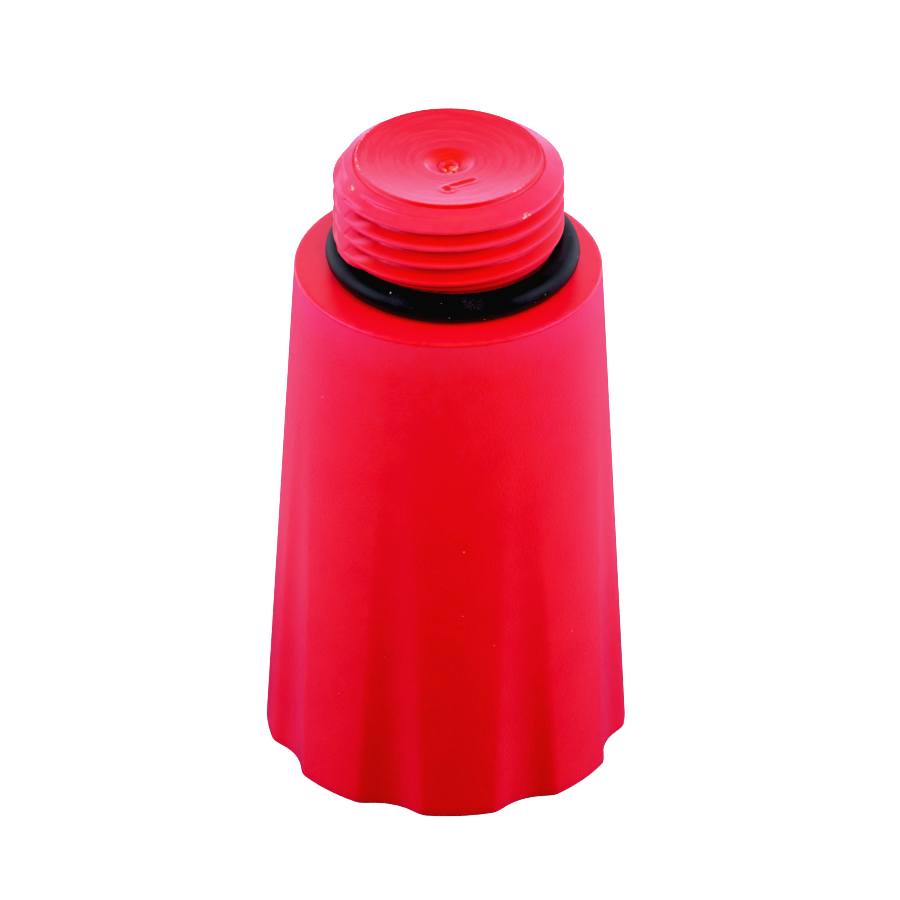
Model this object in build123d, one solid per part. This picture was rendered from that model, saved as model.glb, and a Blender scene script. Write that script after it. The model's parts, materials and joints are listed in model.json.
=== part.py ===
from build123d import *
import os
from math import atan, degrees, radians, tan

# A long hand-tight test plug for a G 1/2 pipe socket: one hollow plastic moulding and its rubber
# sealing ring. Millimetres. Z is the plug's axis and z = 0 is the open rim that it stands on.
# Azimuths are measured from -Y towards +X.

# Grip body, a hollow cone
BODY_HEIGHT = 50.0
BASE_RADIUS = 16.85
SHOULDER_RADIUS = 14.0
SHOULDER_EDGE_ROUND = 0.3
RIM_EDGE_ROUND = 0.35
BORE_MOUTH_RADIUS = 13.0
BORE_TOP_RADIUS = 11.6
SHOULDER_WALL = 3.2
BORE_CORNER_ROUND = 1.2

# Finger flutes, cut by round cutters that lean slightly inwards at the top
FLUTE_COUNT = 8
FLUTE_FIRST_AZIMUTH = 27.0
FLUTE_CUTTER_RADIUS = 5.5
FLUTE_ROOT_RADIUS_AT_RIM = 15.8
FLUTE_ROOT_RADIUS_AT_END = 15.25
FLUTE_END_HEIGHT = 28.0
FLUTE_CUTTER_LENGTH = 80.0

# G 1/2 parallel pipe thread: 14 turns to the inch, 55 degree flanks
THREAD_RADIUS = 20.955 / 2
THREAD_PITCH = 25.4 / 14
THREAD_DEPTH = 0.640327 * THREAD_PITCH
THREAD_FLANK_ANGLE = 27.5
CREST_WIDTH = THREAD_PITCH / 6
GROOVE_OVERCUT = 0.3

# Spigot, all heights above the shoulder
SPIGOT_HEIGHT = 11.2
SPIGOT_ROOT = -1.0
NECK_RADIUS = 8.2
THREAD_START = 3.0
COLLAR_RADIUS = 9.9
COLLAR_TOP = 3.6
THREAD_END = 9.75
LEAD_IN_TOP_RADIUS = 8.75
LEAD_IN_TOP = 10.75
RIM_RADIUS = 8.41
TOP_GROOVE_AT_FRONT = 10.348
GROOVES_PER_HALF = 5
PARTING_AZIMUTH = -66.0
PARTING_STRIP_WIDTH = 0.44
SPIGOT_BORE_MOUTH_RADIUS = 6.0
SPIGOT_BORE_TOP_RADIUS = 5.8
SPIGOT_BORE_TOP = 7.4

# End face: a shallow dish, with the moulding gate's crater and stub in its middle
DISH_DEPTH = 0.6
CRATER_RIM_RADIUS = 2.15
CRATER_FLOOR_RADIUS = 1.0
CRATER_DEPTH = 0.65
GATE_STUB_RADIUS = 0.7
GATE_STUB_HEIGHT = 0.25
GATE_STUB_ROOT = 0.4

# Rubber sealing ring, loose on the neck and slightly off centre
RING_SECTION_RADIUS = 1.325
RING_CENTRE_RADIUS = 10.2
RING_OFFSET = 0.4
RING_SEAT_GAP = 0.05


def at_azimuth(azimuth):
    """Turn that carries something made on +X to the given azimuth."""
    return Rot(0, 0, azimuth - 90)


def turned(points):
    """Solid of revolution about Z of a closed outline of (radius, height) points."""
    outline = Polyline(*[(r, 0, z) for r, z in points], close=True)
    return revolve(make_face(outline), Axis.Z)


def grip_cone():
    """Outer cone of the grip, with its shoulder edge rounded."""
    cone = turned([(0, 0), (BASE_RADIUS, 0), (SHOULDER_RADIUS, BODY_HEIGHT), (0, BODY_HEIGHT)])
    top_edge = cone.edges().filter_by(GeomType.CIRCLE).sort_by(Axis.Z)[-1]
    return fillet(top_edge, SHOULDER_EDGE_ROUND)


def flute_cutter(azimuth):
    """Long round cutter for one flute, leaning from its rim radius to its end radius."""
    rim_centre = FLUTE_ROOT_RADIUS_AT_RIM + FLUTE_CUTTER_RADIUS
    lean = atan((FLUTE_ROOT_RADIUS_AT_END - FLUTE_ROOT_RADIUS_AT_RIM) / FLUTE_END_HEIGHT)
    cutter = Cylinder(FLUTE_CUTTER_RADIUS, FLUTE_CUTTER_LENGTH)
    return at_azimuth(azimuth) * Pos(rim_centre, 0, 0) * Rot(0, degrees(lean), 0) * cutter


def fluted_grip():
    """The cone with its flutes and the softened edges of its rim."""
    grip = grip_cone()
    for index in range(FLUTE_COUNT):
        grip -= flute_cutter(FLUTE_FIRST_AZIMUTH + index * 360 / FLUTE_COUNT)
    rim_edges = grip.edges().group_by(Axis.Z)[0]
    return fillet(rim_edges, RIM_EDGE_ROUND)


def grip_bore():
    """Drafted hollow of the grip, open at the rim."""
    top = BODY_HEIGHT - SHOULDER_WALL
    hollow = turned([(0, 0), (BORE_MOUTH_RADIUS, 0), (BORE_TOP_RADIUS, top), (0, top)])
    top_edge = hollow.edges().filter_by(GeomType.CIRCLE).sort_by(Axis.Z)[-1]
    return fillet(top_edge, BORE_CORNER_ROUND)


def spigot_bore():
    """Narrow drafted hollow that runs up inside the spigot."""
    start = BODY_HEIGHT - SHOULDER_WALL - BORE_CORNER_ROUND
    top = BODY_HEIGHT + SPIGOT_BORE_TOP
    outline = [
        (0, start),
        (SPIGOT_BORE_MOUTH_RADIUS, start),
        (SPIGOT_BORE_TOP_RADIUS, top),
        (0, top),
    ]
    return turned(outline)


def spigot_blank():
    """Neck, plain thread cylinder and lead-in chamfer, before the thread is cut."""
    outline = [
        (0, SPIGOT_ROOT),
        (NECK_RADIUS, SPIGOT_ROOT),
        (NECK_RADIUS, THREAD_START),
        (THREAD_RADIUS, THREAD_START),
        (THREAD_RADIUS, THREAD_END),
        (LEAD_IN_TOP_RADIUS, LEAD_IN_TOP),
        (RIM_RADIUS, SPIGOT_HEIGHT),
        (0, SPIGOT_HEIGHT),
    ]
    return turned(outline)


def groove(start_azimuth, sweep_angle, height):
    """One stretch of thread groove, whose centre is at the height where its azimuth is zero."""
    root_half = (THREAD_PITCH - CREST_WIDTH) / 2 - THREAD_DEPTH * tan(radians(THREAD_FLANK_ANGLE))
    open_half = root_half + (THREAD_DEPTH + GROOVE_OVERCUT) * tan(radians(THREAD_FLANK_ANGLE))
    path = Helix(THREAD_PITCH, THREAD_PITCH * sweep_angle / 360, THREAD_RADIUS)
    corners = [
        (-THREAD_DEPTH, -root_half),
        (GROOVE_OVERCUT, -open_half),
        (GROOVE_OVERCUT, open_half),
        (-THREAD_DEPTH, root_half),
    ]
    section = Plane(path @ 0, x_dir=(1, 0, 0), z_dir=path % 0) * Polygon(*corners, align=None)
    start_height = height + THREAD_PITCH * start_azimuth / 360
    return at_azimuth(start_azimuth) * Pos(0, 0, start_height) * sweep(section, path, is_frenet=True)


def threaded_spigot():
    """The spigot with its thread, which both mould halves leave uncut along the parting plane."""
    spigot = spigot_blank()
    gap = degrees(PARTING_STRIP_WIDTH / 2 / THREAD_RADIUS)
    front_half = (PARTING_AZIMUTH, TOP_GROOVE_AT_FRONT)
    back_half = (PARTING_AZIMUTH + 180, TOP_GROOVE_AT_FRONT - THREAD_PITCH)
    for parting, top_groove in (front_half, back_half):
        for index in range(GROOVES_PER_HALF):
            height = top_groove - index * THREAD_PITCH
            spigot -= groove(parting + gap, 180 - 2 * gap, height)
    collar_height = COLLAR_TOP - THREAD_START
    collar = Pos(0, 0, THREAD_START + collar_height / 2) * Cylinder(COLLAR_RADIUS, collar_height)
    return spigot + collar


def end_face_cutter():
    """What is hollowed out of the end face: the dish and the gate's crater."""
    sphere_radius = (RIM_RADIUS**2 + DISH_DEPTH**2) / (2 * DISH_DEPTH)
    dish_bottom = SPIGOT_HEIGHT - DISH_DEPTH
    dish = Pos(0, 0, dish_bottom + sphere_radius) * Sphere(sphere_radius)
    crater_floor = dish_bottom - CRATER_DEPTH
    wall_slope = (CRATER_RIM_RADIUS - CRATER_FLOOR_RADIUS) / CRATER_DEPTH
    mouth_radius = CRATER_FLOOR_RADIUS + wall_slope * (SPIGOT_HEIGHT - crater_floor)
    outline = [
        (0, crater_floor),
        (CRATER_FLOOR_RADIUS, crater_floor),
        (mouth_radius, SPIGOT_HEIGHT),
        (0, SPIGOT_HEIGHT),
    ]
    return dish + turned(outline)


def gate_stub():
    """Torn stub of the moulding gate on the crater's floor."""
    top = SPIGOT_HEIGHT - DISH_DEPTH - CRATER_DEPTH + GATE_STUB_HEIGHT
    height = GATE_STUB_HEIGHT + GATE_STUB_ROOT
    return Pos(0, 0, top - height / 2) * Cylinder(GATE_STUB_RADIUS, height)


def make_plug_body():
    """The whole moulding: fluted hollow grip with the threaded spigot on its shoulder."""
    spigot = threaded_spigot() - end_face_cutter() + gate_stub()
    return fluted_grip() + Pos(0, 0, BODY_HEIGHT) * spigot - grip_bore() - spigot_bore()


def make_o_ring():
    """Rubber ring resting on the shoulder, pushed to one side of the neck."""
    height = BODY_HEIGHT + RING_SEAT_GAP + RING_SECTION_RADIUS
    return Pos(RING_OFFSET, 0, height) * Torus(RING_CENTRE_RADIUS, RING_SECTION_RADIUS)


os.makedirs("parts", exist_ok=True)
export_step(make_plug_body(), "parts/plug_body.step")
export_step(make_o_ring(), "parts/o_ring.step")
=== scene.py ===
"""Looks of a red moulded test plug with a black rubber sealing ring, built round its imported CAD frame."""

import json
import math

import bmesh
import bpy
import numpy as np
from mathutils import Matrix, Vector


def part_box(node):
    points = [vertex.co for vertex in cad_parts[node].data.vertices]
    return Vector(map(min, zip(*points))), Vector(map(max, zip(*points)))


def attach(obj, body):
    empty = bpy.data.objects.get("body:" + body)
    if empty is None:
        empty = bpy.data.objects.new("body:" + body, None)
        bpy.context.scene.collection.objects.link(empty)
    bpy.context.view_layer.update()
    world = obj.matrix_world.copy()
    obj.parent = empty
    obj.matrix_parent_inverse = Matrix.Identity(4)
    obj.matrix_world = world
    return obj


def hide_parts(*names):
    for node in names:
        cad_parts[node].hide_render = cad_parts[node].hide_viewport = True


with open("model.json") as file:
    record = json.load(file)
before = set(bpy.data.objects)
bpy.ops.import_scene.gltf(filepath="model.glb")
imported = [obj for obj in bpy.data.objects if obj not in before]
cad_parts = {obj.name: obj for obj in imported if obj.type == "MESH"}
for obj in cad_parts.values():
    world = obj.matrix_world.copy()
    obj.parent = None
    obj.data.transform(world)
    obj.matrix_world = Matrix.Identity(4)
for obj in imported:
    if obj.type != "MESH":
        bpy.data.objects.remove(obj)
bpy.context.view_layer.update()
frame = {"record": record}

# Heights, radii and distances are in millimetres up to the moment a mesh is made. Azimuths are in
# degrees from -Y towards +X, and a height is measured from the rim that the plug stands on.
MM = 0.001

# Read from the frame
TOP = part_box("plug_body")[1].z / MM
ring_low, ring_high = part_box("o_ring")
RING_CENTRE = (ring_low + ring_high) / 2 / MM
RING_SECTION_RADIUS = (ring_high.z - ring_low.z) / 2 / MM
RING_CENTRE_RADIUS = (ring_high.x - ring_low.x) / 2 / MM - RING_SECTION_RADIUS
thread_mount = next(m for m in frame["record"]["mounts"] if m["name"] == "pipe_thread")
THREAD_RADIUS = thread_mount["dims"]["r_mm"]
THREAD_START = thread_mount["pos_m"][2] / MM - thread_mount["dims"]["length_mm"] / 2
THREAD_END = thread_mount["pos_m"][2] / MM + thread_mount["dims"]["length_mm"] / 2

# Grip
SHOULDER = 50.0
BASE_RADIUS = 16.85
SHOULDER_RADIUS = 14.0
SHOULDER_EDGE_ROUND = 0.3
RIM_EDGE_ROUND = 0.35
CONE_LEAN = 3
FLUTE_COUNT = 8
FLUTE_FIRST_AZIMUTH = 27.0
FLUTE_CUTTER_RADIUS = 5.5
FLUTE_ROOT_AT_RIM = 15.8
FLUTE_ROOT_AT_END = 15.25
FLUTE_END = 28.0
FLUTE_BLEND = 0.6

# Hollow of the grip and the spigot
BORE_MOUTH_RADIUS = 13.0
BORE_TOP_RADIUS = 11.6
BORE_TOP = 46.8
BORE_CORNER_ROUND = 1.2
BORE_LIP_ROUND = 0.2
SPIGOT_BORE_MOUTH_RADIUS = 6.0
SPIGOT_BORE_MOUTH_ROUND = 0.3
SPIGOT_BORE_TOP_RADIUS = 5.8
SPIGOT_BORE_TOP_ROUND = 0.4
SPIGOT_BORE_TOP = 57.4

# Spigot and its G 1/2 thread
NECK_RADIUS = 8.2
NECK_ROUND = 0.25
UNDERCUT_BEVEL = 0.15
PITCH = 25.4 / 14
THREAD_DEPTH = 0.640327 * PITCH
FLANK = math.tan(math.radians(27.5))
GROOVE_HALF_WIDTH = PITCH * 5 / 12
CREST_BLEND = 0.09
ROOT_BLEND = 0.4
GROOVE_SLOTS = 6
LOWEST_GROOVE_AT_FRONT = 58.534 - 4 * PITCH
COLLAR_RADIUS = 9.9
COLLAR_TOP = 53.6
COLLAR_FADE = 54.4
LEAD_IN_TOP_RADIUS = 8.75
LEAD_IN_TOP = 60.75
CHAMFER_BLEND = 0.25
THREAD_EDGE_ROUND = 0.06

# Parting line, and how the grooves start beside it
PARTING = -66.0
PARTING_STRIP_HALF_WIDTH = 0.22
END_STEP = 0.07
END_STEP_WIDTH = 0.2
END_SLANT = 1.4
END_SLOPE = 3.5
END_RUN = 6.0
END_BLEND = 0.05

# Rim of the end face. The crease at the foot of its wall is (distance outwards from the wall's foot,
# distance upwards from the chamfer's top).
RIM_RADIUS = 8.41
RIM_ROUND = 0.06
WALL_LEAN = 0.1
CREASE = ((0.13, -0.06), (0.05, -0.07), (0.0, 0.02), (-0.04, 0.15))

# End face, with the moulding gate's crater and the torn stub on its floor
DISH_DEPTH = 0.6
DISH_BOTTOM = TOP - DISH_DEPTH
CRATER_RADIUS = 2.15
CRATER_REACH = 2.55
CRATER_FLOOR_RADIUS = 1.0
CRATER_DEPTH = 0.65
CRATER_FLOOR = DISH_BOTTOM - CRATER_DEPTH
CRATER_FOOT_BLEND = 0.12
CRATER_EDGE_BLEND = 0.08
STUB_RADIUS = 0.8
STUB_HEIGHT = 0.3
STUB_WALL = 0.13
STUB_RAGGEDNESS = 0.12
STUB_TILT = 0.08
PIT_OFFSET = 0.2
PIT_DEPTH = 0.3
PIT_WIDTH = 0.33
SHRED_PLACE = (0.3, -0.05)
SHRED_HEIGHT = 0.12
SHRED_WIDTH = 0.22

# Handling dent on the end face: a round pock and a bar, each (half width of its floor, half width,
# depth, height of its raised lip, width of the lip)
POCK_PLACE = (-0.05, -5.15)
POCK = (0.15, 0.6, 0.17, 0.05, 0.14)
BAR_START = (0.25, -4.55)
BAR_END = (2.15, -3.45)
BAR = (0.05, 0.36, 0.11, 0.03, 0.1)
DENT_LIP_OUT = 0.06

# Rubber ring. The flash line's width is in radians round the ring's section.
FLASH_HEIGHT = 0.02
FLASH_WIDTH = 0.09
UNEVENNESS = 0.008

# Fineness of the meshes. The columns nearest a parting line are in half widths of its strip.
NEAR_COLUMNS = (0, 0.6, 1.0, 1.25, 1.5, 1.9, 2.4, 2.9, 3.4, 4.0, 4.6, 5.2, 5.8)
FAR_COLUMNS = 195
CEILING_ROWS = (0.0, 2.0, 4.0, 5.3)
LEDGE_ROWS = (8.0, 10.1)
BORE_ROWS = (38.0, 28.0, 18.0, 9.0, 3.0, 0.3)
GRIP_ROWS = (*np.linspace(1.2, 31.2, 21), *np.linspace(33.5, 49.6, 7))
UNDERSIDE_ROW = 9.2
DISH_ROWS = np.arange(RIM_RADIUS - 0.2, 2.8, -0.13)
CRATER_ROWS = np.linspace(2.7, 0.0, 40)
RING_COLUMNS = 320
RING_SECTION_POINTS = 56
MERGE_DISTANCE = 0.0002

# Colours, as linear light. A surface with a pair wanders between the two.
GRIP_REDS = ((0.83, 0.012, 0.005), (0.87, 0.016, 0.007))
# Painted shade: a darker red for the thread's grooves and the rim's wall, standing in for the shade in
# them.
SHADED_GROOVE_REDS = ((0.58, 0.006, 0.003), (0.64, 0.009, 0.004))
SHOULDER_REDS = ((0.82, 0.006, 0.008), (0.88, 0.008, 0.012))
FACE_REDS = ((0.80, 0.014, 0.010), (0.88, 0.020, 0.015))
# Partly painted light: paler red for the grip's upper part, the shoulder's edge and the rim's crown; also
# the grip's fine frosting and the shoulder's scuffs.
SCUFFED_AND_LIT_RED = (0.84, 0.019, 0.05)
# Partly wear and partly painted highlight: pale red of the thread's crests and chamfer; also the painted
# light band on the grip under the shoulder.
WORN_AND_LIT_RED = (0.86, 0.024, 0.09)
# Painted light: paler red by the parting line, where side light falls on the grooves' ends.
SEAM_LIGHT_RED = (0.88, 0.055, 0.12)
# Stress-whitened white, also used for painted glints on the rim's right front and round the stub.
WHITENED_AND_GLINT_RED = (0.92, 0.36, 0.47)
SHEEN_COLOUR = (0.2, 0.06, 0.95, 1.0)
RUBBER_BLACKS = ((0.0035, 0.004, 0.0035), (0.014, 0.014, 0.035))
RUBBER_GLOSS_COLOUR = (0.7, 0.75, 1.0, 1.0)
DUST_GREY = (0.42, 0.38, 0.5)

# Reliefs, as the depth of each, and the fineness of the plastic's grain in cells to the metre
GRAIN_SCALE = 5200.0
GRIP_GRAIN = 0.04
SMOOTH_GRAIN = 0.004
FACE_GRAIN = 0.003
TURNING_RINGS = 0.016
RUBBER_GRAIN = 0.01

# Wear and painted light: where the grip starts to pale with painted light and stops being polished, how
# wide the painted light band under the shoulder is, how wide the pale edges are (partly wear, partly
# painted highlight), and where the painted light by the parting line reaches
PALE_FROM = 31.0
POLISHED_FROM = 2.0
POLISHED_TO = 35.0
PAINTED_LIGHT_BAND = 4.5
SHOULDER_WEAR_AND_HIGHLIGHT = 0.6
CREST_WEAR_AND_HIGHLIGHT = 0.45
CHAMFER_WEAR_AND_HIGHLIGHT = 0.5
RIM_HIGHLIGHT = 0.12
SEAM_LIGHT_CORE = 0.6
SEAM_LIGHT_REACH = 3.2

# Torn white flecks and painted glints, as (azimuth, radius, height, reach)
BEADS_AND_GLINTS = ((-98, RIM_RADIUS, TOP, 5.2), (50, RIM_RADIUS, TOP, 1.6))
BURRS = (
    (42, THREAD_RADIUS, THREAD_END - 0.35, 0.6),
    (PARTING + 1.5, THREAD_RADIUS - 0.8, THREAD_END + 0.6, 0.45),
)
STUB_TEAR_AND_GLINT = (20, 0.45, CRATER_FLOOR + 0.2, 0.8)

# Finishes of the moulding's surface, in the order of its materials
GRAINED, SMOOTH, THREADED, FACED = range(4)

# Camera
CAMERA_DISTANCE = 800.0
CAMERA_ELEVATION = 33.19
CAMERA_ROLL = 0.325
CAMERA_TARGET = (0.255, 0.0, 29.57)
CAMERA_LENS = 347.9
CAMERA_SENSOR = 36.0

# Studio. Azimuths and elevations are those of each light as seen from the plug, in degrees. Each box
# is (azimuth, elevation, power) and each glow (azimuth, elevation, strength). Sizes are in metres.
LIGHT_COLOUR = (0.8, 0.8, 1.0)
FILL_COLOUR = (0.8, 0.65, 0.1)
BOX_SIZE = 0.12
BOX_DISTANCE = 0.18
BOX_CENTRE_HEIGHT = 0.045
LEFT_BOX = (-78, 16, 0.44)
RIGHT_BOX = (77, 18, 0.42)
BACK_BOX = (180, 10, 0.14)
FILL_BOX = (8, 48, 0.45)
GLOW_TIGHTNESS = 10.0
LEFT_GLOW = (-130, 5, 4.7)
RIGHT_GLOW = (130, 5, 4.9)
BACKGROUND_WHITE = 2.5
FLOOR_REACH = 3.0
FLOOR_GREY = 0.9
CARD_RADIUS = 0.045
CARD_DEPTH = 0.001
CARD_GREY = 0.01

# How the camera answers to brightness, as (brightness, what is shown)
BLACK_POINT = 0.015
RESPONSE = ((0.0, 0.0022), (0.7, 0.7), (0.95, 0.85), (1.2, 0.89), (2.0, 1.0))


# ---------------------------------------------------------------- small maths


def smooth_min(a, b, width):
    """The lower of a and b, rounded over where they are within width of each other."""
    blend = np.clip(0.5 + 0.5 * (b - a) / width, 0, 1)
    return b + (a - b) * blend - width * blend * (1 - blend)


def smooth_max(a, b, width):
    """The higher of a and b, rounded over where they are within width of each other."""
    return -smooth_min(-a, -b, width)


def smooth_step(low, high, x):
    """0 below low, 1 above high and an even ease between them."""
    t = np.clip((x - low) / (high - low), 0, 1)
    return t * t * (3 - 2 * t)


def bell(distance, width):
    """1 at no distance, falling smoothly on both sides to almost nothing at twice the width."""
    return np.exp(-((distance / width) ** 2))


def waves(x, y, seed, count=7):
    """Smooth repeatable unevenness between about -1 and 1, as a sum of slanted waves."""
    source = np.random.default_rng(seed)
    total = 0
    for _ in range(count):
        angle, phase = source.uniform(0, 2 * math.pi, 2)
        scale = source.uniform(0.6, 1.8)
        total = total + np.sin(scale * (x * math.cos(angle) + y * math.sin(angle)) + phase)
    return total / count * 1.6


def arc(centre_r, centre_z, radius, start, end, count):
    """Points (radius, height) along an arc of a section, its angles in degrees from outwards to up."""
    angles = np.radians(np.linspace(start, end, count))
    return [(centre_r + radius * math.cos(a), centre_z + radius * math.sin(a)) for a in angles]


def across(radius, azimuths):
    """The x and y of places at a radius and azimuths."""
    angle = np.radians(azimuths)
    return radius * np.sin(angle), -radius * np.cos(angle)


def direction(azimuth, elevation):
    """Unit vector from the plug towards an azimuth and elevation."""
    a, e = math.radians(azimuth), math.radians(elevation)
    return Vector((math.sin(a) * math.cos(e), -math.cos(a) * math.cos(e), math.sin(e)))


# ---------------------------------------------------------------- the moulding's surface


def column_azimuths():
    """Azimuths of the mesh columns, from one parting line round to the same one, closer by both."""
    edge = math.degrees(PARTING_STRIP_HALF_WIDTH / THREAD_RADIUS)
    near = edge * np.array(NEAR_COLUMNS)
    far = np.linspace(near[-1], 180 - near[-1], FAR_COLUMNS)
    half = np.concatenate([near[:-1], far, 180 - near[-2::-1]])
    return PARTING + np.concatenate([half, 180 + half[1:]])


def constant(value, azimuths):
    return np.full(azimuths.shape, float(value))


def rows_of(points, azimuths):
    """Mesh rows of plain turned surface through (radius, height) points."""
    return [(constant(r, azimuths), constant(z, azimuths)) for r, z in points]


def hollow_rows(azimuths):
    """The hollow: from the middle of its ceiling, down the spigot's bore and the grip's, to the rim."""
    top, mouth = SPIGOT_BORE_TOP_ROUND, SPIGOT_BORE_MOUTH_ROUND
    corner, lip = BORE_CORNER_ROUND, BORE_LIP_ROUND
    slope = (BORE_TOP_RADIUS - BORE_MOUTH_RADIUS) / BORE_TOP
    points = [(r, SPIGOT_BORE_TOP) for r in CEILING_ROWS]
    points += arc(SPIGOT_BORE_TOP_RADIUS - top, SPIGOT_BORE_TOP - top, top, 90, 0, 4)
    points += arc(SPIGOT_BORE_MOUTH_RADIUS + mouth, BORE_TOP + mouth, mouth, 180, 270, 4)
    points += [(r, BORE_TOP) for r in LEDGE_ROWS]
    points += arc(BORE_TOP_RADIUS - corner, BORE_TOP - corner, corner, 90, 0, 7)
    points += [(BORE_MOUTH_RADIUS + slope * z, z) for z in BORE_ROWS]
    points += arc(BORE_MOUTH_RADIUS + lip, lip, lip, 190, 270, 4)
    return rows_of(points, azimuths)


def grip_radius(azimuths, height):
    """Outer radius of the fluted grip."""
    cone = BASE_RADIUS + (SHOULDER_RADIUS - BASE_RADIUS) * height / SHOULDER
    root = FLUTE_ROOT_AT_RIM + (FLUTE_ROOT_AT_END - FLUTE_ROOT_AT_RIM) * height / FLUTE_END
    centre = root + FLUTE_CUTTER_RADIUS
    step = 360 / FLUTE_COUNT
    off = np.radians((azimuths - FLUTE_FIRST_AZIMUTH + step / 2) % step - step / 2)
    inside = FLUTE_CUTTER_RADIUS**2 - (centre * np.sin(off)) ** 2
    flute = centre * np.cos(off) - np.sqrt(np.maximum(inside, 0))
    return smooth_min(constant(cone, azimuths), flute, FLUTE_BLEND)


def grip_rows(azimuths):
    """The rim's underside and round edge, then the fluted cone up to the shoulder's edge."""
    rows = []
    edge = grip_radius(azimuths, RIM_EDGE_ROUND)
    inner = BORE_MOUTH_RADIUS + BORE_LIP_ROUND
    for share in (0.3, 0.7):
        rows.append((inner + (edge - RIM_EDGE_ROUND - inner) * share, constant(0, azimuths)))
    for angle in np.radians(np.linspace(-90, 0, 6)):
        height = RIM_EDGE_ROUND * (1 + math.sin(angle))
        inset = RIM_EDGE_ROUND * (1 - math.cos(angle))
        rows.append((edge - inset, constant(height, azimuths)))
    for height in GRIP_ROWS:
        rows.append((grip_radius(azimuths, height), constant(height, azimuths)))
    return rows


def shoulder_rows(azimuths):
    """The shoulder's round edge, its flat, the neck and the flat underside of the thread."""
    edge = SHOULDER_EDGE_ROUND
    outer = SHOULDER_RADIUS + (BASE_RADIUS - SHOULDER_RADIUS) * edge / SHOULDER
    points = arc(outer - edge, SHOULDER - edge, edge, CONE_LEAN, 90, 6)
    flat_end = NECK_RADIUS + NECK_ROUND
    points += [(r, SHOULDER) for r in np.linspace(outer - 2 * edge, flat_end + 0.2, 9)]
    points += arc(flat_end, SHOULDER + NECK_ROUND, NECK_ROUND, 270, 180, 4)
    points.append((NECK_RADIUS, THREAD_START - UNDERCUT_BEVEL))
    points += [(r, THREAD_START) for r in (NECK_RADIUS + UNDERCUT_BEVEL, UNDERSIDE_ROW)]
    return rows_of(points, azimuths)


def groove_depth(distance):
    """Depth of the thread groove at a distance from its middle."""
    flank = (GROOVE_HALF_WIDTH - distance) / FLANK
    return smooth_max(smooth_min(flank, THREAD_DEPTH, ROOT_BLEND), 0.0, CREST_BLEND)


def groove_offsets():
    """Heights of the mesh rows of one pitch, from the groove's middle, closer by the crest's edges."""
    edge = -GROOVE_HALF_WIDTH
    crest = [-PITCH / 2, edge - 0.07]
    bend = np.linspace(edge - 0.03, edge + 0.06, 4)
    flank = np.linspace(edge + 0.16, -0.22, 4)
    root = [-0.12, 0]
    lower = np.concatenate([crest, bend, flank, root])
    return np.concatenate([lower, -lower[-2:0:-1]])


def lead_in_radius(height):
    """Radius of the blank that the thread is cut in: a cylinder, and the chamfer that leads in."""
    slope = (THREAD_RADIUS - LEAD_IN_TOP_RADIUS) / (LEAD_IN_TOP - THREAD_END)
    chamfer = THREAD_RADIUS - slope * (height - THREAD_END)
    return smooth_min(constant(THREAD_RADIUS, height), chamfer, CHAMFER_BLEND)


def collar_radius(height):
    """Radius that the groove is filled to where the thread runs out at its lower end."""
    share = np.clip((height - COLLAR_TOP) / (COLLAR_FADE - COLLAR_TOP), 0, 1)
    return COLLAR_RADIUS - share * (COLLAR_RADIUS - THREAD_RADIUS + THREAD_DEPTH)


def parting_distance(azimuths):
    """Distance round the thread to the nearer parting line."""
    off = (azimuths - PARTING + 90) % 180 - 90
    return np.radians(np.abs(off)) * THREAD_RADIUS


def end_limit(azimuths, offset):
    """Depth that a groove is held to by a parting line: a slanted step, then a steepening lower flank."""
    rise = np.clip(0.5 + offset / (2 * GROOVE_HALF_WIDTH), 0, 1)
    run = parting_distance(azimuths) - PARTING_STRIP_HALF_WIDTH - END_SLANT * rise
    flank = END_SLOPE * smooth_step(0, END_RUN, run) * rise
    return smooth_step(0, END_STEP_WIDTH, run) * (END_STEP + flank)


def thread_radius(azimuths, height, offset):
    """Radius of the threaded part at one height in each column, offset from a groove's middle."""
    from_nearest = (offset + PITCH / 2) % PITCH - PITCH / 2
    blank = lead_in_radius(height)
    groove = THREAD_RADIUS - groove_depth(np.abs(from_nearest))
    cut = smooth_max(groove, blank - end_limit(azimuths, from_nearest), END_BLEND)
    cut = np.maximum(cut, np.minimum(collar_radius(height), THREAD_RADIUS))
    return np.minimum(cut, blank)


def thread_rows(azimuths):
    """Rows that follow the helix, held between the thread's lower edge and the top of its chamfer."""
    rows = []
    edge = THREAD_EDGE_ROUND
    for slot in range(GROOVE_SLOTS):
        middle = LOWEST_GROOVE_AT_FRONT + PITCH * (slot + azimuths / 360)
        for offset in groove_offsets():
            height = np.clip(middle + offset, THREAD_START + edge, LEAD_IN_TOP)
            rows.append((thread_radius(azimuths, height, height - middle), height))
    first = rows[0][0]
    under = [
        (first - edge, constant(THREAD_START, azimuths)),
        (first - 0.3 * edge, constant(THREAD_START + 0.3 * edge, azimuths)),
    ]
    return under + rows


def rim_rows(azimuths):
    """The crease over the chamfer, the steep wall and the dish's thin round rim."""
    foot = RIM_RADIUS + WALL_LEAN
    points = [(LEAD_IN_TOP_RADIUS - 0.05, LEAD_IN_TOP)]
    points += [(foot + out, LEAD_IN_TOP + up) for out, up in CREASE]
    points += arc(RIM_RADIUS - RIM_ROUND / 2, TOP - RIM_ROUND, RIM_ROUND, 10, 90, 5)
    points.append((RIM_RADIUS - RIM_ROUND * 3 / 2, TOP - RIM_ROUND / 3))
    return rows_of(points, azimuths)


def dish_height(radius):
    """Height of the dished end face, before anything that marks it."""
    sphere = (RIM_RADIUS**2 + DISH_DEPTH**2) / (2 * DISH_DEPTH)
    return DISH_BOTTOM + sphere - np.sqrt(sphere**2 - radius**2)


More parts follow.
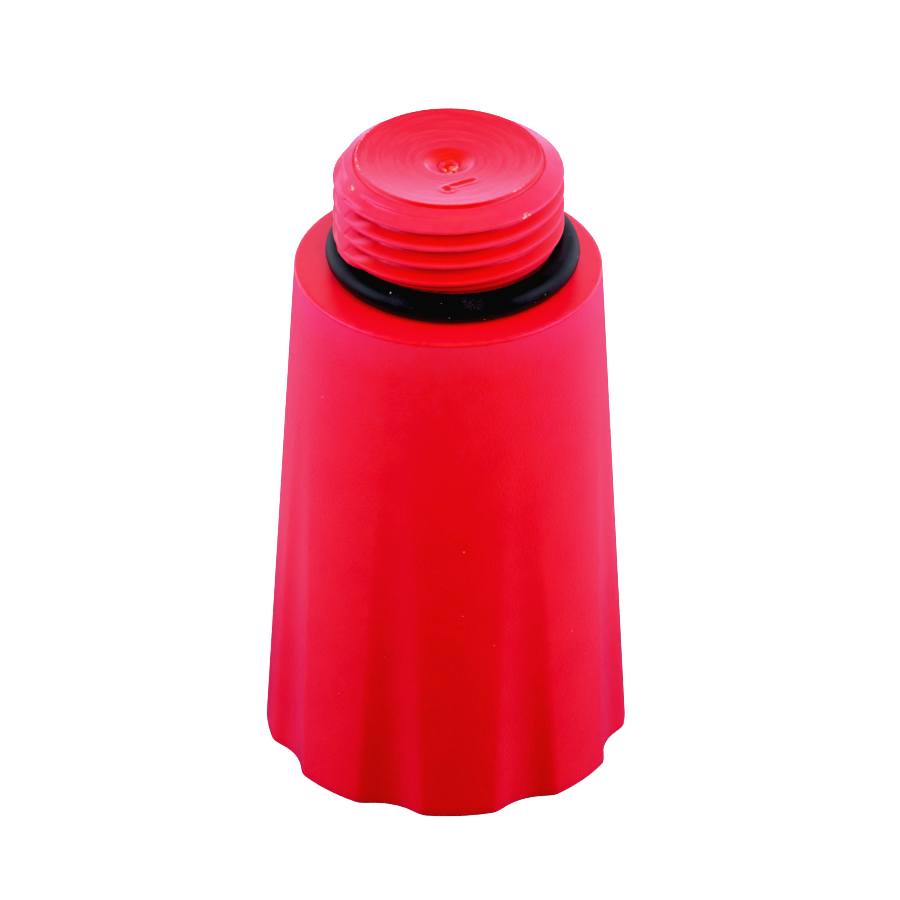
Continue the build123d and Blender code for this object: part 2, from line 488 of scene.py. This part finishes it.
def pressed(distance, floor, edge, depth, lip, lip_width):
    """Depth at a distance from the middle of something pressed in, which raised a lip round itself."""
    hollow = depth * (1 - smooth_step(floor, edge, distance))
    return hollow - lip * bell(distance - edge - DENT_LIP_OUT, lip_width)


def dent_depth(x, y):
    """Depth of the comma-shaped handling dent in front of the gate: a round pock and a short bar."""
    from_pock = np.hypot(x - POCK_PLACE[0], y - POCK_PLACE[1])
    start, run = np.array(BAR_START), np.subtract(BAR_END, BAR_START)
    along = np.clip(((x - start[0]) * run[0] + (y - start[1]) * run[1]) / (run @ run), 0, 1)
    from_bar = np.hypot(x - start[0] - along * run[0], y - start[1] - along * run[1])
    return pressed(from_pock, *POCK) + pressed(from_bar, *BAR)


def crater_height(radius, azimuths):
    """Height of the gate's crater and of the torn stub on its floor."""
    slope = CRATER_DEPTH / (CRATER_RADIUS - CRATER_FLOOR_RADIUS)
    wall = CRATER_FLOOR + (radius - CRATER_FLOOR_RADIUS) * slope
    bowl = smooth_max(wall, constant(CRATER_FLOOR, azimuths), CRATER_FOOT_BLEND)
    shape = smooth_min(bowl, dish_height(radius), CRATER_EDGE_BLEND)
    x, y = across(radius, azimuths)
    tilt = STUB_TILT * np.sin(np.radians(azimuths) + 0.4)
    torn = STUB_HEIGHT + STUB_RAGGEDNESS * waves(3 * x, 3 * y, 5) + tilt
    ring = torn * bell(radius - STUB_RADIUS, STUB_WALL)
    pit = PIT_DEPTH * bell(np.hypot(x + PIT_OFFSET, y), PIT_WIDTH)
    shred = bell(np.hypot(x - SHRED_PLACE[0], y - SHRED_PLACE[1]), SHRED_WIDTH)
    return shape + ring - pit + SHRED_HEIGHT * shred * (1 + waves(9 * x, 9 * y, 8))


def dish_rows(azimuths, radii):
    """Rows of the end face at the given radii."""
    rows = []
    for radius in radii:
        spread = constant(radius, azimuths)
        if radius > CRATER_REACH:
            height = dish_height(spread) - dent_depth(*across(radius, azimuths))
        else:
            height = crater_height(spread, azimuths)
        rows.append((spread, height))
    return rows


# ---------------------------------------------------------------- meshes


class Skin:
    """Collects rows of mesh points round the Z axis and the faces between them."""

    def __init__(self):
        self.points = []
        self.faces = []
        self.finishes = []
        self.last = None

    def add_row(self, azimuths, radius, height, finish):
        """Adds one row of points and joins it to the row before, which may have twice its columns."""
        first = len(self.points)
        self.points += list(zip(*across(radius, azimuths), height))
        row = list(range(first, first + len(azimuths)))
        if self.last is not None:
            self.join(self.last, row)
        self.last = row
        self.finishes += [finish] * (len(self.faces) - len(self.finishes))

    def join(self, old, new):
        """Faces between two rows of equal length, or between a row and one with every second point."""
        if len(old) == len(new):
            for i in range(len(new) - 1):
                self.faces.append((old[i], old[i + 1], new[i + 1], new[i]))
            return
        for i in range(len(new) - 1):
            a, b, c = old[2 * i: 2 * i + 3]
            self.faces += [(a, b, new[i]), (b, new[i + 1], new[i]), (b, c, new[i + 1])]

    def add_rows(self, azimuths, rows, finish):
        for radius, height in rows:
            self.add_row(azimuths, radius, height, finish)


def add_object(name, data):
    """A new object at the origin, in the scene."""
    thing = bpy.data.objects.new(name, data)
    bpy.context.scene.collection.objects.link(thing)
    return thing


def mesh_object(name, points, faces, finishes=None):
    """A smooth-shaded object of points in millimetres, with coincident points merged."""
    mesh = bpy.data.meshes.new(name)
    mesh.from_pydata([Vector(p) * MM for p in points], [], faces)
    if finishes is not None:
        mesh.polygons.foreach_set("material_index", finishes)
    work = bmesh.new()
    work.from_mesh(mesh)
    bmesh.ops.remove_doubles(work, verts=work.verts, dist=MERGE_DISTANCE * MM)
    bmesh.ops.recalc_face_normals(work, faces=work.faces)
    work.to_mesh(mesh)
    work.free()
    mesh.shade_smooth()
    return add_object(name, mesh)


def make_moulding():
    """The whole red moulding as one closed mesh."""
    azimuths = column_azimuths()
    skin = Skin()
    skin.add_rows(azimuths, hollow_rows(azimuths), SMOOTH)
    skin.add_rows(azimuths, grip_rows(azimuths), GRAINED)
    skin.add_rows(azimuths, shoulder_rows(azimuths), SMOOTH)
    skin.add_rows(azimuths, thread_rows(azimuths), THREADED)
    skin.add_rows(azimuths, rim_rows(azimuths), THREADED)
    half = azimuths[::2]
    skin.add_rows(half, dish_rows(half, DISH_ROWS), FACED)
    quarter = half[::2]
    skin.add_rows(quarter, dish_rows(quarter, CRATER_ROWS), FACED)
    return mesh_object("plug_moulding", skin.points, skin.faces, skin.finishes)


def make_ring():
    """The rubber ring, a little uneven, with the fine flash line of its mould round its outside."""
    points = []
    faces = []
    for i in range(RING_COLUMNS):
        turn = 2 * math.pi * i / RING_COLUMNS
        for j in range(RING_SECTION_POINTS):
            bend = 2 * math.pi * j / RING_SECTION_POINTS
            flash = FLASH_HEIGHT * bell((bend + math.pi) % (2 * math.pi) - math.pi, FLASH_WIDTH)
            uneven = UNEVENNESS * math.sin(5 * turn + 1.0) * math.sin(bend + 2 * turn)
            reach = RING_SECTION_RADIUS + flash + uneven
            out = RING_CENTRE_RADIUS + reach * math.cos(bend)
            points.append((
                RING_CENTRE.x + out * math.sin(turn),
                RING_CENTRE.y - out * math.cos(turn),
                RING_CENTRE.z + reach * math.sin(bend),
            ))
            here = i * RING_SECTION_POINTS
            beside = (i + 1) % RING_COLUMNS * RING_SECTION_POINTS
            after = (j + 1) % RING_SECTION_POINTS
            faces.append((here + j, beside + j, beside + after, here + after))
    return mesh_object("sealing_ring", points, faces)


# ---------------------------------------------------------------- materials


class Tree:
    """A node tree with short calls to add nodes and link them."""

    def __init__(self, node_tree):
        self.nodes = node_tree.nodes
        self.links = node_tree.links

    def put(self, node, inputs):
        """Fills inputs of a node: one given a socket is linked, and any other gets a plain value."""
        for key, value in inputs.items():
            if isinstance(value, bpy.types.NodeSocket):
                self.links.new(value, node.inputs[key])
            else:
                node.inputs[key].default_value = value

    def add(self, kind, inputs=None, **settings):
        """Adds a node with its settings and inputs."""
        node = self.nodes.new(kind)
        for key, value in settings.items():
            setattr(node, key, value)
        self.put(node, inputs or {})
        return node

    def maths(self, operation, a, b=0.0):
        return self.add("ShaderNodeMath", {0: a, 1: b}, operation=operation).outputs[0]

    def product(self, first, *others):
        for other in others:
            first = self.maths("MULTIPLY", first, other)
        return first

    def vector_maths(self, operation, a, b=(0.0, 0.0, 0.0)):
        return self.add("ShaderNodeVectorMath", {0: a, 1: b}, operation=operation)


class Material(Tree):
    """A material, and ways to vary it from place to place on the plug."""

    def __init__(self, name):
        self.material = bpy.data.materials.new(name)
        self.material.use_nodes = True
        super().__init__(self.material.node_tree)

    def shade(self, inputs):
        """Fills inputs of the material's shader."""
        self.put(self.nodes["Principled BSDF"], inputs)

    def place(self):
        return self.add("ShaderNodeTexCoord").outputs["Object"]

    def height(self):
        """Height above the floor, in metres."""
        return self.add("ShaderNodeSeparateXYZ", {0: self.place()}).outputs["Z"]

    def radius(self):
        """Distance from the plug's axis, in metres."""
        flat = self.vector_maths("MULTIPLY", self.place(), (1.0, 1.0, 0.0)).outputs[0]
        return self.vector_maths("LENGTH", flat).outputs["Value"]

    def between(self, value, low, high, out_low=0.0, out_high=1.0):
        """Eases from out_low to out_high while the value goes from low to high."""
        inputs = {"Value": value, "From Min": low, "From Max": high}
        inputs.update({"To Min": out_low, "To Max": out_high})
        return self.add("ShaderNodeMapRange", inputs, interpolation_type="SMOOTHSTEP").outputs[0]

    def upwards(self, low, high, out_low=0.0, out_high=1.0):
        """Eases from out_low to out_high between two heights in millimetres."""
        return self.between(self.height(), low * MM, high * MM, out_low, out_high)

    def outwards(self, low, high):
        """Eases from 0 to 1 between two radii in millimetres."""
        return self.between(self.radius(), low * MM, high * MM)

    def near(self, azimuth, radius, height, reach):
        """1 at a place on the moulding, falling to 0 at reach from it, all in millimetres and degrees."""
        aim = direction(azimuth, 0) * radius
        place = (aim.x * MM, aim.y * MM, height * MM)
        distance = self.vector_maths("DISTANCE", self.place(), place).outputs["Value"]
        return self.between(distance, 0.7 * reach * MM, reach * MM, 1.0, 0.0)

    def noise(self, scale, detail=2.0, roughness=0.5, vector=None):
        inputs = {"Scale": scale, "Detail": detail, "Roughness": roughness}
        inputs["Vector"] = vector or self.place()
        return self.add("ShaderNodeTexNoise", inputs).outputs["Fac"]

    def patches(self, low, high, out_low=0.0, out_high=1.0, **noise):
        """Uneven patches from out_low to out_high, eased while the noise goes from low to high."""
        return self.between(self.noise(**noise), low, high, out_low, out_high)

    def streaks(self, fineness, fineness_round, tilt=0.0):
        """Noise drawn out round the axis: fine with radius, and with height times tilt."""
        section = self.maths("ADD", self.radius(), self.maths("MULTIPLY", self.height(), tilt))
        parts = self.add("ShaderNodeSeparateXYZ", {0: self.place()}).outputs
        inputs = {
            "X": self.maths("MULTIPLY", section, fineness),
            "Y": self.maths("MULTIPLY", parts["X"], fineness_round),
            "Z": self.maths("MULTIPLY", parts["Y"], fineness_round),
        }
        vector = self.add("ShaderNodeCombineXYZ", inputs).outputs[0]
        return self.noise(scale=1.0, detail=3.0, roughness=0.6, vector=vector)

    def specks(self, scale, size, share):
        """1 on scattered round specks, one in each cell of 1 / scale metres where chance allows."""
        cells = self.add("ShaderNodeTexVoronoi", {"Vector": self.place(), "Scale": scale}).outputs
        chance = self.add("ShaderNodeSeparateColor", {0: cells["Color"]}).outputs[0]
        chosen = self.maths("LESS_THAN", chance, share)
        reach = self.product(self.product(chance, size / share), chosen)
        return self.maths("LESS_THAN", cells["Distance"], reach)

    def colour(self, share, low, high):
        """A mix of low and high, each a socket or (red, green, blue)."""
        low, high = ((*end, 1.0) if isinstance(end, tuple) else end for end in (low, high))
        return self.add("ShaderNodeMix", {0: share, 6: low, 7: high}, data_type="RGBA").outputs[2]

    def wandering(self, reds):
        """A colour that wanders slowly between the two."""
        return self.colour(self.patches(0.3, 0.7, scale=260.0, detail=4.0, roughness=0.6), *reds)

    def bump(self, height, distance, strength=1.0, under=None):
        """Surface normal of a relief whose full height is a distance in millimetres."""
        inputs = {"Height": height, "Distance": distance * MM, "Strength": strength}
        if under is not None:
            inputs["Normal"] = under
        return self.add("ShaderNodeBump", inputs).outputs["Normal"]

    def grain(self, depth):
        """Surface normal of the mould's grain, its depth in millimetres."""
        return self.bump(self.noise(scale=GRAIN_SCALE, detail=3.0, roughness=0.65), depth)

    def smear(self, low, high):
        """Roughness that wanders between low and high, as handled plastic's does."""
        return self.patches(0.3, 0.7, low, high, scale=900.0, detail=3.0)


def red_plastic(name, sheen, gloss_green):
    """Moulded red polyethylene, which the caller gives its red, its marks and its relief."""
    tree = Material(name)
    tree.shade({
        "IOR": 1.5,
        "Specular Tint": (1.0, gloss_green, 1.0, 1.0),
        "Sheen Weight": sheen,
        "Sheen Roughness": 0.5,
        "Sheen Tint": SHEEN_COLOUR,
    })
    return tree


def grained_plastic():
    """The grip's fine mould grain, paler towards the shoulder with painted light and blotchier there, with
    a painted light band under the shoulder and a few pale specks.
    """
    tree = red_plastic("red_grained_plastic", sheen=0.29, gloss_green=0.14)
    # Painted light: the grip pales towards the shoulder, in uneven blotches.
    rise = tree.upwards(PALE_FROM, SHOULDER)
    blotch = tree.patches(0.3, 0.7, 0.2, 0.75, scale=650.0, detail=5.0, roughness=0.65)
    red = tree.colour(tree.product(rise, blotch), tree.wandering(GRIP_REDS), SCUFFED_AND_LIT_RED)
    # Painted light: a pale band on the grip just under the shoulder's edge, fading downwards.
    band = tree.upwards(SHOULDER - PAINTED_LIGHT_BAND, SHOULDER - SHOULDER_EDGE_ROUND)
    patchy = tree.patches(0.3, 0.7, 0.55, 1.0, scale=900.0, detail=4.0, roughness=0.65)
    red = tree.colour(tree.product(band, patchy), red, WORN_AND_LIT_RED)
    frost = tree.patches(0.4, 0.75, 0.0, 0.5, scale=GRAIN_SCALE, detail=3.0, roughness=0.7)
    red = tree.colour(frost, red, SCUFFED_AND_LIT_RED)
    specks = tree.product(tree.specks(scale=700.0, size=0.07, share=0.12), 0.5)
    tree.shade({
        "Base Color": tree.colour(specks, red, WHITENED_AND_GLINT_RED),
        "Roughness": tree.upwards(POLISHED_FROM, POLISHED_TO, 0.32, 0.46),
        "Normal": tree.grain(GRIP_GRAIN),
    })
    return tree.material


def smooth_plastic():
    """The shoulder with its pale edge, partly scuffed and partly a painted highlight, the neck and the
    hollow.
    """
    tree = red_plastic("red_smooth_plastic", sheen=0.07, gloss_green=0.14)
    # The shoulder's edge pales, partly with scuffs and partly with a painted highlight.
    edge = tree.outwards(SHOULDER_RADIUS - SHOULDER_WEAR_AND_HIGHLIGHT, SHOULDER_RADIUS - 0.2)
    top = tree.upwards(SHOULDER - 1.0, SHOULDER - SHOULDER_WEAR_AND_HIGHLIGHT)
    patchy = tree.patches(0.3, 0.65, 0.0, 0.6, scale=1100.0, detail=4.0, roughness=0.7)
    worn_and_lit = tree.product(edge, top, patchy)
    tree.shade({
        "Base Color": tree.colour(worn_and_lit, tree.wandering(SHOULDER_REDS), SCUFFED_AND_LIT_RED),
        "Roughness": tree.smear(0.36, 0.45),
        "Normal": tree.grain(SMOOTH_GRAIN),
    })
    return tree.material


def threaded_plastic():
    """Red darkened with painted shade in the grooves and on the rim's wall, pale on the crests and the
    chamfer with wear and a painted highlight, paler with painted light by the parting line.
    """
    tree = red_plastic("red_thread_plastic", sheen=0.15, gloss_green=0.4)
    # Crests and chamfer pale with wear and with a painted highlight, which fades towards the thread's lower
    # end.
    crest = tree.outwards(THREAD_RADIUS - CREST_WEAR_AND_HIGHLIGHT, THREAD_RADIUS - 0.02)
    crest = tree.product(crest, tree.upwards(THREAD_START, THREAD_END - 0.8, 0.1, 1.0))
    chamfer = tree.upwards(THREAD_END - CHAMFER_WEAR_AND_HIGHLIGHT, THREAD_END - 0.1)
    # The rim's wall keeps the red darkened with painted shade; only the parts below it may pale.
    below_wall = tree.upwards(LEAD_IN_TOP, LEAD_IN_TOP + 0.06, 1.0, 0.0)
    worn_and_lit = tree.product(tree.maths("MAXIMUM", crest, chamfer), below_wall)
    patchy = tree.patches(0.2, 0.6, 0.55, 1.0, scale=1400.0, detail=4.0, roughness=0.6)
    red = tree.colour(tree.product(worn_and_lit, patchy), tree.wandering(SHADED_GROOVE_REDS), WORN_AND_LIT_RED)
    # Painted light by the parting line: the grooves' ends and flanks there pale as if lit from the side.
    aside = tree.vector_maths("DOT_PRODUCT", tree.place(), direction(PARTING + 90, 0)).outputs["Value"]
    seam_light = tree.between(tree.maths("ABSOLUTE", aside), SEAM_LIGHT_CORE * MM, SEAM_LIGHT_REACH * MM, 0.3, 0.0)
    red = tree.colour(seam_light, red, SEAM_LIGHT_RED)
    # Painted highlight along the rim's crown.
    edge = tree.upwards(TOP - RIM_HIGHLIGHT, TOP - 0.04)
    red = tree.colour(edge, red, SCUFFED_AND_LIT_RED)
    # Flash beads on the rim's left, and a painted glint on its right front.
    beads_and_glints = tree.product(edge, tree.maths("ADD", *[tree.near(*fleck_place) for fleck_place in BEADS_AND_GLINTS]))
    burrs = tree.maths("ADD", *[tree.near(*burr) for burr in BURRS])
    fleck = tree.patches(0.5, 0.6, scale=2600.0, detail=2.0, roughness=0.6)
    flecks = tree.product(tree.maths("ADD", beads_and_glints, burrs), fleck)
    tree.shade({
        "Base Color": tree.colour(flecks, red, WHITENED_AND_GLINT_RED),
        "Roughness": tree.smear(0.38, 0.47),
        "IOR": 1.4,
        "Normal": tree.grain(SMOOTH_GRAIN),
    })
    return tree.material


def faced_plastic():
    """The dished end face, with the fine turning rings of the mould's core."""
    tree = red_plastic("red_faced_plastic", sheen=0.2, gloss_green=0.22)
    rings = tree.streaks(fineness=2300.0, fineness_round=240.0)
    shade = tree.between(rings, 0.3, 0.7)
    fleck = tree.patches(0.5, 0.56, scale=3200.0, detail=2.0, roughness=0.6)
    # White flecks round the torn stub: torn plastic and painted highlight.
    torn = tree.product(fleck, tree.near(*STUB_TEAR_AND_GLINT))
    tree.shade({
        "Base Color": tree.colour(torn, tree.colour(shade, *FACE_REDS), WHITENED_AND_GLINT_RED),
        "Roughness": tree.between(shade, 0.0, 1.0, 0.2, 0.32),
        "Normal": tree.bump(rings, TURNING_RINGS, under=tree.grain(FACE_GRAIN)),
    })
    return tree.material


def black_rubber():
    """Matte black rubber with faint bluish streaks of bloom, and dust."""
    tree = Material("black_ring_rubber")
    streaks = tree.streaks(fineness=1500.0, fineness_round=300.0, tilt=0.8)
    cloud = tree.between(streaks, 0.42, 0.68)
    patchy = tree.patches(0.35, 0.65, 0.1, 1.0, scale=6500.0, detail=2.0, roughness=0.7)
    bloom = tree.product(cloud, patchy)
    dust = tree.specks(scale=1300.0, size=0.1, share=0.3)
    relief = tree.noise(scale=3500.0, detail=4.0, roughness=0.6)
    tree.shade({
        "Base Color": tree.colour(dust, tree.colour(bloom, *RUBBER_BLACKS), DUST_GREY),
        "Roughness": tree.between(bloom, 0.0, 1.0, 0.42, 0.6),
        "Specular IOR Level": 0.08,
        "Specular Tint": RUBBER_GLOSS_COLOUR,
        "Normal": tree.bump(relief, RUBBER_GRAIN, strength=0.7),
    })
    return tree.material


def matte(name, grey, glow=0.0):
    """Dull grey of the studio, which may shine white by itself."""
    tree = Material(name)
    tree.shade({"Base Color": (grey, grey, grey, 1.0), "Roughness": 0.9})
    tree.shade({"Emission Color": (1.0, 1.0, 1.0, 1.0), "Emission Strength": glow})
    return tree.material


# ---------------------------------------------------------------- studio


def make_camera():
    """A long-lens camera that looks down on the plug, aimed at a point near its middle."""
    elevation = math.radians(CAMERA_ELEVATION)
    target = Vector(CAMERA_TARGET) * MM
    back = Vector((0, -math.cos(elevation), math.sin(elevation)))
    data = bpy.data.cameras.new("camera")
    data.lens = CAMERA_LENS
    data.sensor_width = CAMERA_SENSOR
    data.clip_start = 0.05
    data.clip_end = 20.0
    camera = add_object("camera", data)
    roll = Matrix.Rotation(math.radians(CAMERA_ROLL), 4, "Z")
    turn = back.to_track_quat("Z", "Y").to_matrix().to_4x4() @ roll
    camera.matrix_world = Matrix.Translation(target + back * CAMERA_DISTANCE * MM) @ turn
    bpy.context.scene.camera = camera


def make_floor():
    """A white floor that only the camera sees, and that doesn't light the plug."""
    mesh = bpy.data.meshes.new("floor")
    reach = FLOOR_REACH
    corners = [(-reach, -reach, 0), (reach, -reach, 0), (reach, reach, 0), (-reach, reach, 0)]
    mesh.from_pydata(corners, [], [(0, 1, 2, 3)])
    mesh.materials.append(matte("studio_white", FLOOR_GREY, BACKGROUND_WHITE))
    floor = add_object("floor", mesh)
    floor.visible_glossy = False
    floor.visible_diffuse = False


def make_card():
    """A round black card under the plug, seen only in its gloss, which keeps the foot's sides deep red."""
    mesh = bpy.data.meshes.new("card")
    work = bmesh.new()
    bmesh.ops.create_circle(work, cap_ends=True, segments=64, radius=CARD_RADIUS)
    work.to_mesh(mesh)
    work.free()
    mesh.materials.append(matte("card_black", CARD_GREY))
    card = add_object("card", mesh)
    card.location.z = -CARD_DEPTH
    card.visible_camera = False
    card.visible_diffuse = False


def soft_box(name, azimuth, elevation, power, colour=LIGHT_COLOUR):
    """A square lamp near the plug that faces its upper part."""
    data = bpy.data.lights.new(name, "AREA")
    data.shape = "SQUARE"
    data.size = BOX_SIZE
    data.energy = power
    data.color = colour
    lamp = add_object(name, data)
    away = direction(azimuth, elevation)
    turn = away.to_track_quat("Z", "Y").to_matrix().to_4x4()
    place = away * BOX_DISTANCE + Vector((0, 0, BOX_CENTRE_HEIGHT))
    lamp.matrix_world = Matrix.Translation(place) @ turn
    return lamp


def make_world():
    """A white backdrop for the camera, and two broad windows behind the plug that light it."""
    world = bpy.data.worlds.new("studio")
    bpy.context.scene.world = world
    world.use_nodes = True
    tree = Tree(world.node_tree)
    looking = tree.add("ShaderNodeTexCoord").outputs["Generated"]

    def glow(azimuth, elevation, strength):
        toward = tree.vector_maths("DOT_PRODUCT", looking, direction(azimuth, elevation))
        fall = tree.product(tree.maths("SUBTRACT", toward.outputs["Value"], 1.0), GLOW_TIGHTNESS)
        return tree.product(tree.maths("EXPONENT", fall), strength)

    windows = tree.nodes["Background"]
    both = tree.maths("ADD", glow(*LEFT_GLOW), glow(*RIGHT_GLOW))
    tree.put(windows, {"Color": (*LIGHT_COLOUR, 1.0), "Strength": both})
    backdrop = tree.add("ShaderNodeBackground", {"Strength": BACKGROUND_WHITE})
    seen = tree.add("ShaderNodeLightPath").outputs["Is Camera Ray"]
    ends = {0: seen, 1: windows.outputs[0], 2: backdrop.outputs[0]}
    either = tree.add("ShaderNodeMixShader", ends)
    tree.put(tree.nodes["World Output"], {"Surface": either.outputs[0]})


def set_camera_response():
    """Contrast of the picture: the deepest tones fall to near black and the brightest roll off to white."""
    settings = bpy.context.scene.view_settings
    settings.view_transform = "Standard"
    settings.use_curve_mapping = True
    response = settings.curve_mapping
    white_point = RESPONSE[-1][0]
    response.black_level = (BLACK_POINT,) * 3
    response.white_level = (white_point,) * 3
    curve = response.curves[3]
    curve.points[0].location = RESPONSE[0]
    for brightness, shown in RESPONSE[1:-1]:
        curve.points.new(brightness / white_point, shown)
    for point in curve.points:
        point.handle_type = "VECTOR"
    response.extend = "HORIZONTAL"
    response.update()


def make_studio():
    make_camera()
    make_floor()
    make_card()
    make_world()
    soft_box("left_box", *LEFT_BOX)
    soft_box("right_box", *RIGHT_BOX)
    soft_box("back_box", *BACK_BOX)
    soft_box("fill_box", *FILL_BOX, FILL_COLOUR).visible_glossy = False
    set_camera_response()


def make_pieces():
    moulding = make_moulding()
    for material in (grained_plastic(), smooth_plastic(), threaded_plastic(), faced_plastic()):
        moulding.data.materials.append(material)
    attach(moulding, "plug")
    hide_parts("plug_body")
    ring = make_ring()
    ring.data.materials.append(black_rubber())
    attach(ring, "seal")
    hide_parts("o_ring")


make_studio()
make_pieces()
